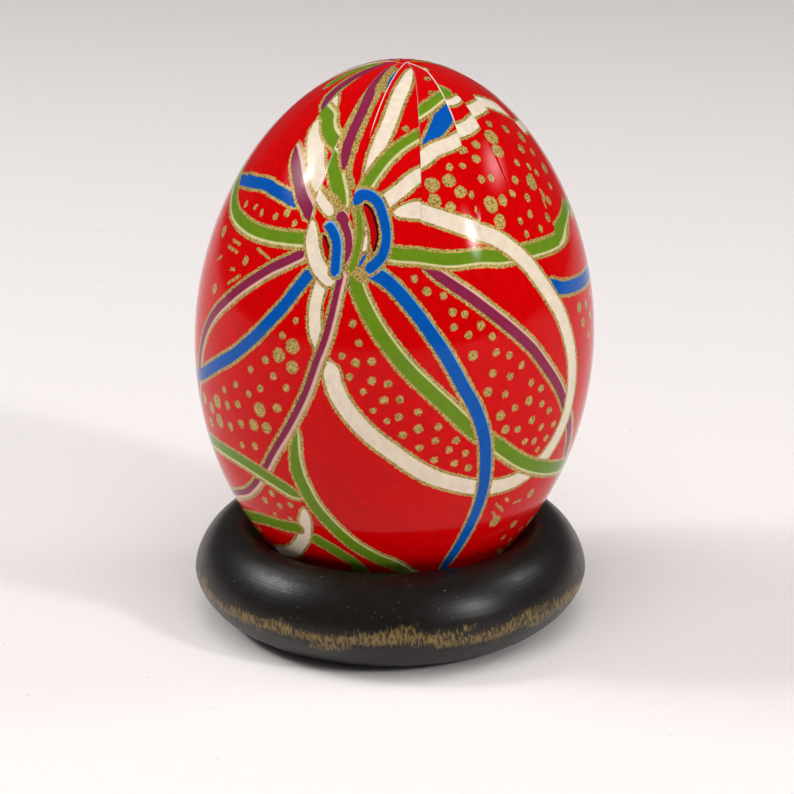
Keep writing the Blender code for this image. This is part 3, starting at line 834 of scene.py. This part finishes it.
def ebonised_wood():
    """Beech turned on a lathe, stained black and waxed.

    A soft satin sheen, faint rings from the gouge, and the stain rubbed through to bare wood on
    the widest line, where short upright pores stay dark.
    """
    paint = bpy.context.scene.egg_ring
    material, add = empty_material("waxed_ebonised_beech")
    turned = add("UVMap", {"uv_map": "turned"})[0]
    place = add("TexCoord", {})["Object"]
    # Sizes in mm round the ring and round its section.
    ticks, patches, wander, pores, rings = (
        add("TexNoise", {"noise_dimensions": "2D", "Scale": 1.0, "Detail": detail, "Vector": add(
            "Mapping", {"Scale": (1 / around, 1 / across, 1), "Vector": turned})[0]})["Fac"]
        for around, across, detail in (
            (0.24, 0.9, 3), (4.0, 1.6, 3), (9.0, 30.0, 1), (0.35, 0.8, 4), (60.0, 0.3, 2)))
    haze, nicks, wax, lint = (
        add("TexNoise", {"Vector": place, "Scale": 1 / (size * MM), "Detail": detail,
                         "Roughness": roughness})["Fac"]
        for size, detail, roughness in ((2.5, 4, 0.65), (0.5, 4, 0.7), (1.2, 4, 0.7),
                                        (0.22, 1, 0.5)))

    # How far the stain is rubbed through: most on the worn line, which wanders a little.
    line = add("Math", {"operation": "MULTIPLY_ADD", 0: wander, 1: WORN_WANDER,
                        2: -WORN_WANDER / 2 - WORN_HEIGHT})[0]
    off_line = add("Math", {"operation": "MULTIPLY_ADD", 0: add("SeparateXYZ", {0: place})[2],
                            1: 1 / MM, 2: line})[0]
    off_line = add("Math", {"operation": "ABSOLUTE", 0: off_line})[0]
    rub = add("Math", {"operation": "MULTIPLY_ADD", 0: off_line, 1: -1 / WORN_HALF_WIDTH,
                       2: 1 - (TICK_WEIGHT + PATCH_WEIGHT) / 2})[0]
    for pattern, weight in ((ticks, TICK_WEIGHT), (patches, PATCH_WEIGHT)):
        rub = add("Math", {"operation": "MULTIPLY_ADD", 0: pattern, 1: weight, 2: rub})[0]
    rub = add("MapRange", {"Value": rub, "From Min": 0.25, "From Max": 0.85, "To Max": 0.8})[0]
    outer = add("Attribute", {"attribute_name": "outer"})["Fac"]
    worn = add("Math", {"operation": "MULTIPLY", 0: rub, 1: outer})[0]

    dark_pores = add("MapRange", {"Value": pores, "From Min": 0.59, "From Max": 0.35})[0]
    wood = add("Mix", {"data_type": "RGBA", 0: dark_pores, 6: opaque(paint.worn),
                       7: opaque(PORE)})[2]
    dusty = add("Math", {"operation": "MULTIPLY", 0: haze, 1: 0.3})[0]
    specks = add("MapRange", {"Value": lint, "From Min": 0.23, "From Max": 0.19})[0]
    colour = opaque(paint.stain)
    for where, over in ((dusty, opaque(DUST)), (worn, wood), (specks, opaque(LINT))):
        colour = add("Mix", {"data_type": "RGBA", 0: where, 6: colour, 7: over})[2]
    gouged = add("Bump", {"Strength": 0.5, "Distance": 0.03 * MM, "Height": rings})[0]
    nicked = add("Bump", {"Strength": 0.6, "Distance": 0.03 * MM, "Height": nicks,
                          "Normal": gouged})[0]
    rough = add("MapRange", {"Value": wax, "To Min": paint.roughness - 0.08,
                             "To Max": paint.roughness + 0.16})[0]
    shader = add("BsdfPrincipled", {"Base Color": colour, "Roughness": rough, "IOR": 1.38,
                                    "Normal": nicked})
    add("OutputMaterial", {"Surface": shader[0]})
    return material


def hidden_layer(name, light, dark, size, roughness):
    """A matt natural material that is mottled with a second colour at one size in mm."""
    material, add = empty_material(name)
    place = add("TexCoord", {})["Object"]
    mottle, pits = (
        add("TexNoise", {"Vector": place, "Scale": scale / (size * MM), "Detail": detail,
                         "Roughness": rough})["Fac"]
        for scale, detail, rough in ((1, 4, 0.6), (4, 3, 0.5)))
    colour = add("Mix", {"data_type": "RGBA", 0: mottle, 6: opaque(light), 7: opaque(dark)})[2]
    bump = add("Bump", {"Strength": 0.4, "Distance": 0.02 * MM, "Height": pits})[0]
    shader = add("BsdfPrincipled", {"Base Color": colour, "Roughness": roughness,
                                    "Normal": bump})
    add("OutputMaterial", {"Surface": shader[0]})
    return material


def matt_table():
    """Matt white card: bright, even, and without gloss, with a few specks of dust."""
    material, add = empty_material("matt_white_card")
    lint = add("TexNoise", {"Vector": add("TexCoord", {})["Object"], "Scale": 1 / (1.5 * MM),
                            "Detail": 3, "Roughness": 0.7})["Fac"]
    specks = add("MapRange", {"Value": lint, "From Min": 0.31, "From Max": 0.27})[0]
    colour = add("Mix", {"data_type": "RGBA", 0: specks, 6: opaque(
        bpy.context.scene.egg_stage.table), 7: opaque(TABLE_SPECK)})[2]
    shader = add("BsdfPrincipled", {"Base Color": colour, "Roughness": 0.9})
    add("OutputMaterial", {"Surface": shader[0]})
    return material


# ------------------------------------------------------------------ operators

class PieceOperator:
    """What the operators share."""
    bl_options = {"REGISTER", "UNDO"}


class EGG_OT_paper(PieceOperator, bpy.types.Operator):
    """Wrap the printed sheet round the egg: the uncut belt, then the strips up and down"""
    bl_idname = "egg.wrap_paper"
    bl_label = "Wrap the paper"

    def execute(self, context):
        paper = printed_paper()
        for sheet in (("paper_belt", BELT_BASE, BELT_TOP, ROW_SPACING, BASE_CUTS, TOP_CUTS),
                      ("paper_strips_top", BELT_TOP, EGG.arcs[-1], ROW_SPACING, TOP_CUTS,
                       TOP_CUTS),
                      ("paper_strips_base", EGG.arcs[0], BELT_BASE, BASE_ROW_SPACING, BASE_CUTS,
                       BASE_CUTS)):
            finish_piece(wrap_sheet(*sheet), "egg",
                         ["paper_wrap", "lacquer_film"], paper)
        return {"FINISHED"}


class EGG_OT_base_disc(PieceOperator, bpy.types.Operator):
    """Glue the small round of paper over the strips' ends at the base"""
    bl_idname = "egg.glue_base_disc"
    bl_label = "Glue the base disc"

    def execute(self, context):
        cad = node_points("base_disc") - EGG.centre
        spread = np.linalg.norm(cad - (cad @ EGG.axis)[:, None] * EGG.axis, axis=1).max() / MM
        lower = EGG.arcs < 0
        rim = np.interp(spread, EGG.radii[lower], EGG.arcs[lower]) - EGG.arcs[0]
        profile = np.array(DISC_FACE + [(rim + reach, lift) for reach, lift in DISC_RIM]
                           + [(0.0, DISC_RIM[-1][1])])
        piece, column, row = flat_grid("base_paper_disc", DISC_COLUMNS, len(profile) - 1)
        turn = column * 360 / DISC_COLUMNS
        reach, lift = profile[row].T
        points = EGG.surface(turn, EGG.arcs[0] + reach, lift)
        piece.data.vertices.foreach_set("co", points.ravel())
        edges = np.stack([rim - reach, np.full(len(reach), FAR), np.ones(len(reach))], axis=1)
        store_print(piece.data, DISC_CUT_FROM[0] + reach * np.sin(np.radians(turn)),
                    DISC_CUT_FROM[1] + reach * np.cos(np.radians(turn)), edges,
                    read(piece.data.loops, "vertex_index", 1, int).ravel())
        merge_and_smooth()
        finish_piece(piece, "egg", ["base_disc"],
                     bpy.data.materials["lacquered_printed_paper"])
        return {"FINISHED"}


class EGG_OT_inside(PieceOperator, bpy.types.Operator):
    """Give the layers that the paper hides their own materials"""
    bl_idname = "egg.finish_inside"
    bl_label = "Finish the inside"

    def execute(self, context):
        # A hen's shell is chalky and faintly speckled, its membrane a dry ivory skin, and the
        # filler a plain putty.
        shell = hidden_layer("chalky_eggshell", "#E8D2B4", "#D8B890", 1.2, 0.6)
        membrane = hidden_layer("dried_shell_membrane", "#EFE8D6", "#DDD2B8", 3.0, 0.5)
        putty = hidden_layer("dried_putty", "#D9D4C6", "#C4BCA8", 0.4, 0.8)
        for node, material in (("eggshell", shell), ("shell_membrane", membrane),
                               ("hole_filler_top", putty), ("hole_filler_base", putty)):
            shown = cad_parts[node].data
            shown.materials.clear()
            shown.materials.append(material)
        return {"FINISHED"}


class EGG_OT_ring(PieceOperator, bpy.types.Operator):
    """Turn the wooden ring from the section of its bead"""
    bl_idname = "egg.turn_ring"
    bl_label = "Turn the ring"

    def execute(self, context):
        radii = np.linalg.norm(node_points("stand_ring")[:, :2], axis=1)
        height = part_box("stand_ring")[1].z
        half_width = (radii.max() - radii.min()) / 2
        middle_radius = (radii.max() + radii.min()) / 2
        section = self.section(middle_radius, half_width, height,
                               context.scene.egg_ring.foot_shift)
        deselect()
        bpy.ops.mesh.primitive_circle_add(vertices=len(section), radius=1.0)
        piece = context.object
        piece.name = piece.data.name = "turned_ring"
        for vertex, (radius, rise) in zip(piece.data.vertices, section):
            vertex.co = (radius, 0.0, rise)
        bpy.ops.object.mode_set(mode="EDIT")
        bpy.ops.mesh.select_all(action="SELECT")
        bpy.ops.mesh.spin(steps=RING_STEPS, angle=2 * pi, center=(0, 0, 0), axis=(0, 0, 1))
        bpy.ops.object.mode_set(mode="OBJECT")
        merge_and_smooth()
        bpy.ops.object.mode_set(mode="EDIT")
        bpy.ops.mesh.select_all(action="SELECT")
        bpy.ops.mesh.normals_make_consistent(inside=False)
        bpy.ops.object.mode_set(mode="OBJECT")
        self.unroll(piece.data, section, height)
        finish_piece(piece, "stand", ["stand_ring"], ebonised_wood())
        return {"FINISHED"}

    def section(self, middle_radius, half_width, height, foot_shift):
        """The bead as points (radius, height), from its crown round outside and back."""
        half_height = (height + RING_CROWN_TRIM) / 2
        middle_height = height - half_height
        points = []
        for i in range(RING_SECTION_POINTS):
            turn = 2 * pi * i / RING_SECTION_POINTS
            reach = copysign(abs(sin(turn)) ** (2 / RING_SECTION_POWER), sin(turn))
            rise = abs(cos(turn)) ** (2 / RING_SECTION_POWER)
            if cos(turn) > 0:
                points.append((middle_radius + half_width * reach,
                               middle_height + half_height * rise))
            else:
                inwards = foot_shift * (1 - abs(reach))
                drop = (middle_height + RING_FLAT_TRIM) * rise
                points.append((middle_radius + half_width * reach - inwards,
                               max(middle_height - drop, 0.0)))
        return points

    def unroll(self, mesh, section, height):
        """UV in mm: round the ring, and round its section. Also mark the outer half."""
        middle = sum(radius for radius, _ in section) / len(section)
        points = read(mesh.vertices, "co")
        corners = read(mesh.loops, "vertex_index", 1, int).ravel()
        radius = np.linalg.norm(points[:, :2], axis=1)
        half = (radius.max() - radius.min()) / 2
        uv = []
        for angles, reach in (
                (np.arctan2(points[:, 1], points[:, 0]), radius.max()),
                (np.arctan2(radius - middle, points[:, 2] - height / 2), half)):
            mine = angles[corners].reshape(-1, 4)
            # Corners of one face are never a full turn apart.
            mine = mine + 2 * pi * (mine.max(1, keepdims=True) - mine > pi)
            uv.append(mine.ravel() * reach / MM)
        mesh.uv_layers.new(name="turned").data.foreach_set("uv", np.stack(uv, axis=1).ravel())
        outer = mesh.attributes.new("outer", "FLOAT", "POINT")
        outer.data.foreach_set("value", ease((radius - middle) / half * 2))


class EGG_OT_stage(PieceOperator, bpy.types.Operator):
    """Set the table, the lamps and the camera"""
    bl_idname = "egg.set_stage"
    bl_label = "Set the stage"

    def execute(self, context):
        settings = context.scene.egg_stage
        deselect()
        bpy.ops.mesh.primitive_plane_add(size=FLOOR_SIZE)
        floor = context.object
        floor.name = "table"
        floor.data.materials.append(matt_table())
        middle = Vector((0, 0, (CAD_BOX[0].z + CAD_BOX[1].z) / 2))
        for lamp in LAMPS:
            self.hang(context, lamp, middle, lamp.share * getattr(settings, lamp.power))
        world = bpy.data.worlds.new("studio")
        world.use_nodes = True
        surroundings = world.node_tree.nodes["Background"].inputs
        surroundings[0].default_value = opaque(ROOM)
        surroundings[1].default_value = settings.surroundings
        context.scene.world = world
        # The film-like transforms grey the inks.
        context.scene.view_settings.view_transform = "Standard"

        camera = bpy.data.cameras.new("camera")
        camera.lens, camera.sensor_width = CAMERA_LENS, CAMERA_SENSOR
        camera.dof.use_dof = False
        camera.clip_start = CAMERA_CLIP
        viewer = bpy.data.objects.new("camera", camera)
        self.aim(viewer, CAMERA_TARGET, 0.0, CAMERA_ELEVATION, CAMERA_DISTANCE)
        context.scene.collection.objects.link(viewer)
        context.scene.camera = viewer
        return {"FINISHED"}

    def aim(self, thing, target, azimuth, elevation, distance):
        """Place a thing in a direction from the target, and point it at the target."""
        a, e = radians(azimuth), radians(elevation)
        way = Vector((sin(a) * cos(e), -cos(a) * cos(e), sin(e)))
        thing.location = target + way * distance
        thing.rotation_euler = (-way).to_track_quat("-Z", "Y").to_euler()

    def hang(self, context, lamp, middle, power):
        """A round diffuser that glows most in its middle."""
        light = bpy.data.lights.new(lamp.name, "AREA")
        light.shape = "ELLIPSE"
        light.size, light.size_y, light.energy = lamp.width, lamp.height, power
        light.use_nodes = True
        light.node_tree.nodes.clear()
        add = partial(add_node, light.node_tree)
        place = add("NewGeometry", {})["Parametric"]
        off_middle = add("VectorMath", {"operation": "DISTANCE", 0: place, 1: (0.5, 0.5, 0.0)})
        glow = add("MapRange", {"interpolation_type": "SMOOTHSTEP", "Value": off_middle["Value"],
                                "From Min": 0.5, "From Max": 0.0})[0]
        strength = add("Math", {"operation": "POWER", 0: glow, 1: lamp.fall})[0]
        emission = add("Emission", {"Strength": strength})
        add("OutputLight", {"Surface": emission[0]})
        hung = bpy.data.objects.new(lamp.name, light)
        self.aim(hung, middle, lamp.azimuth, lamp.elevation, lamp.distance)
        hung.visible_glossy = lamp.in_gloss
        context.scene.collection.objects.link(hung)


class EGG_PT_panel(bpy.types.Panel):
    """The steps in the order of the bench"""
    bl_label = "Paper-covered egg"
    bl_space_type = "VIEW_3D"
    bl_region_type = "UI"
    bl_category = "Egg"

    def draw(self, context):
        for settings in (context.scene.egg_paper, context.scene.egg_ring,
                         context.scene.egg_stage):
            box = self.layout.box()
            for name in settings.__annotations__:
                box.prop(settings, name)
        for operator in OPERATORS:
            self.layout.operator(operator.bl_idname)


OPERATORS = (EGG_OT_stage, EGG_OT_ring, EGG_OT_inside, EGG_OT_paper, EGG_OT_base_disc)
SETTINGS = {"egg_paper": PaperSettings, "egg_ring": RingSettings, "egg_stage": StageSettings}


def register():
    for group in SETTINGS.values():
        bpy.utils.register_class(group)
    for name, group in SETTINGS.items():
        setattr(bpy.types.Scene, name, PointerProperty(type=group))
    for cls in OPERATORS + (EGG_PT_panel,):
        bpy.utils.register_class(cls)


def unregister():
    for cls in (EGG_PT_panel,) + OPERATORS[::-1]:
        bpy.utils.unregister_class(cls)
    for name, group in SETTINGS.items():
        delattr(bpy.types.Scene, name)
        bpy.utils.unregister_class(group)


def main():
    register()
    for operator in OPERATORS:
        group, name = operator.bl_idname.split(".")
        getattr(getattr(bpy.ops, group), name)()


if __name__ == "__main__":
    main()
